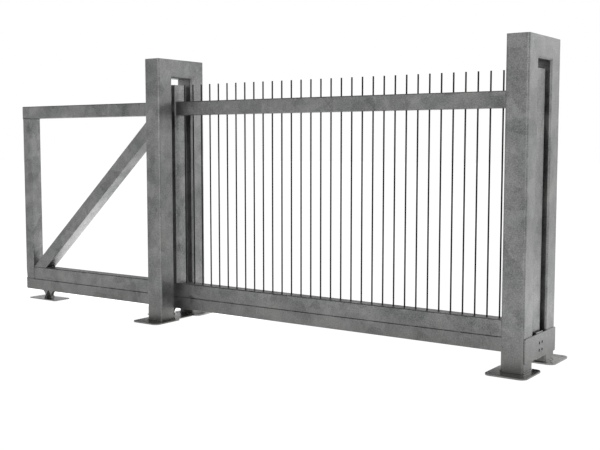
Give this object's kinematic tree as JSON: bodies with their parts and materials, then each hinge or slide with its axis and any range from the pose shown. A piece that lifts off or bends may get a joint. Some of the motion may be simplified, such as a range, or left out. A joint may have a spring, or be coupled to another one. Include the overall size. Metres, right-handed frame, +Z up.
{
  "type": "sliding gate with rack and pinion drive",
  "caption": "Self-supporting galvanised sliding gate: a leaf with a braced tail runs on roller carriages between two portals, driven by a rack and pinion.",
  "frame": {"origin": "on the ground, midway along the closed gate, in the middle plane of the leaf", "axes": "+X along the leaf towards the catch portal, +Y across the gate to the side with the rack, +Z up"},
  "size_m": [5.28, 0.826, 2.207],
  "materials": {
    "galvanised": "hot-dip galvanised, dull",
    "bright_steel": "machined and zinc plated",
    "zinc_bolts": "zinc plated",
    "black_screws": "black oxide",
    "rubber": "matt black",
    "black_nylon": "black nylon",
    "nylon": "natural nylon",
    "motor_paint": "grey enamel"
  },
  "bodies": {
    "ground": {"guide_post_front": "galvanised", "guide_post_rear": "galvanised", "guide_lintel": "galvanised", "guide_foot_front": "galvanised", "guide_foot_rear": "galvanised", "catch_post_front": "galvanised", "catch_post_rear": "galvanised", "catch_lintel": "galvanised", "catch_foot_front": "galvanised", "catch_foot_rear": "galvanised", "post_caps": "galvanised", "catch_cross_plate": "galvanised", "catch_bracket": "galvanised", "catch_buffer": "rubber", "catch_screws": "black_screws", "upper_catch_guides": "black_nylon", "lead_carriage_base": "galvanised", "lead_carriage_web": "galvanised", "rear_carriage_base": "galvanised", "rear_carriage_web": "galvanised", "carriage_axles": "bright_steel", "guide_bracket_front": "galvanised", "guide_bracket_rear": "galvanised", "guide_roller_pins": "bright_steel", "guide_portal_bolts": "zinc_bolts", "gearbox": "motor_paint", "drive_motor": "motor_paint", "service_cover": "galvanised", "cover_screws": "zinc_bolts"},
    "leaf": {"bottom_beam": "galvanised", "track_top": "galvanised", "track_sides": "galvanised", "track_lips": "galvanised", "track_end_cap": "galvanised", "tail_post": "galvanised", "tail_brace": "galvanised", "top_rail_rear": "galvanised", "top_rail_front": "galvanised", "mid_post": "galvanised", "front_post": "galvanised", "leaf_end_caps": "galvanised", "infill_bars": "galvanised", "gear_rack": "bright_steel", "rack_spacers": "bright_steel", "rack_bolts": "zinc_bolts", "stop_blocks": "bright_steel", "stop_buffers": "rubber", "run_up_bracket": "galvanised", "run_up_axle": "bright_steel"},
    "pinion_shaft": {"pinion": "bright_steel", "drive_shaft": "bright_steel"},
    "lead_rollers_a": {"lead_rollers_a": "bright_steel"},
    "lead_rollers_b": {"lead_rollers_b": "bright_steel"},
    "rear_rollers_a": {"rear_rollers_a": "bright_steel"},
    "rear_rollers_b": {"rear_rollers_b": "bright_steel"},
    "guide_roller_1": {"guide_roller_1": "nylon"},
    "guide_roller_2": {"guide_roller_2": "nylon"},
    "guide_roller_3": {"guide_roller_3": "nylon"},
    "guide_roller_4": {"guide_roller_4": "nylon"},
    "run_up_roller": {"run_up_roller": "nylon"}
  },
  "joints": [
    {"name": "leaf_slide", "type": "slide", "parent": "ground", "child": "leaf", "axis": [-1, 0, 0], "range_m": [0, 3]},
    {"name": "pinion_turn", "type": "hinge", "parent": "ground", "child": "pinion_shaft", "pos_m": [-0.705, 0.09, 0.164], "axis": [0, 1, 0], "continuous": true},
    {"name": "lead_rollers_a_turn", "type": "hinge", "parent": "ground", "child": "lead_rollers_a", "pos_m": [-0.898, 0, 0.1371], "axis": [0, 1, 0], "continuous": true},
    {"name": "lead_rollers_b_turn", "type": "hinge", "parent": "ground", "child": "lead_rollers_b", "pos_m": [-0.688, 0, 0.1371], "axis": [0, 1, 0], "continuous": true},
    {"name": "rear_rollers_a_turn", "type": "hinge", "parent": "ground", "child": "rear_rollers_a", "pos_m": [-2.485, 0, 0.1359], "axis": [0, 1, 0], "continuous": true},
    {"name": "rear_rollers_b_turn", "type": "hinge", "parent": "ground", "child": "rear_rollers_b", "pos_m": [-2.275, 0, 0.1359], "axis": [0, 1, 0], "continuous": true},
    {"name": "guide_roller_1_turn", "type": "hinge", "parent": "ground", "child": "guide_roller_1", "pos_m": [-0.75, -0.09, 1.8005], "axis": [0, 0, 1], "continuous": true},
    {"name": "guide_roller_2_turn", "type": "hinge", "parent": "ground", "child": "guide_roller_2", "pos_m": [-0.69, -0.09, 1.8005], "axis": [0, 0, 1], "continuous": true},
    {"name": "guide_roller_3_turn", "type": "hinge", "parent": "ground", "child": "guide_roller_3", "pos_m": [-0.75, 0.09, 1.8005], "axis": [0, 0, 1], "continuous": true},
    {"name": "guide_roller_4_turn", "type": "hinge", "parent": "ground", "child": "guide_roller_4", "pos_m": [-0.69, 0.09, 1.8005], "axis": [0, 0, 1], "continuous": true},
    {"name": "run_up_roller_turn", "type": "hinge", "parent": "leaf", "child": "run_up_roller", "pos_m": [2.505, 0, 0.0985], "axis": [0, 1, 0], "continuous": true}
  ],
  "couplings": [
    {"joint": "pinion_turn", "follows": "leaf_slide", "rad_per_m": -18.519},
    {"joint": "lead_rollers_a_turn", "follows": "leaf_slide", "rad_per_m": -22.727},
    {"joint": "rear_rollers_a_turn", "follows": "leaf_slide", "rad_per_m": 22.727},
    {"joint": "lead_rollers_b_turn", "follows": "leaf_slide", "rad_per_m": -22.727},
    {"joint": "rear_rollers_b_turn", "follows": "leaf_slide", "rad_per_m": 22.727}
  ]
}
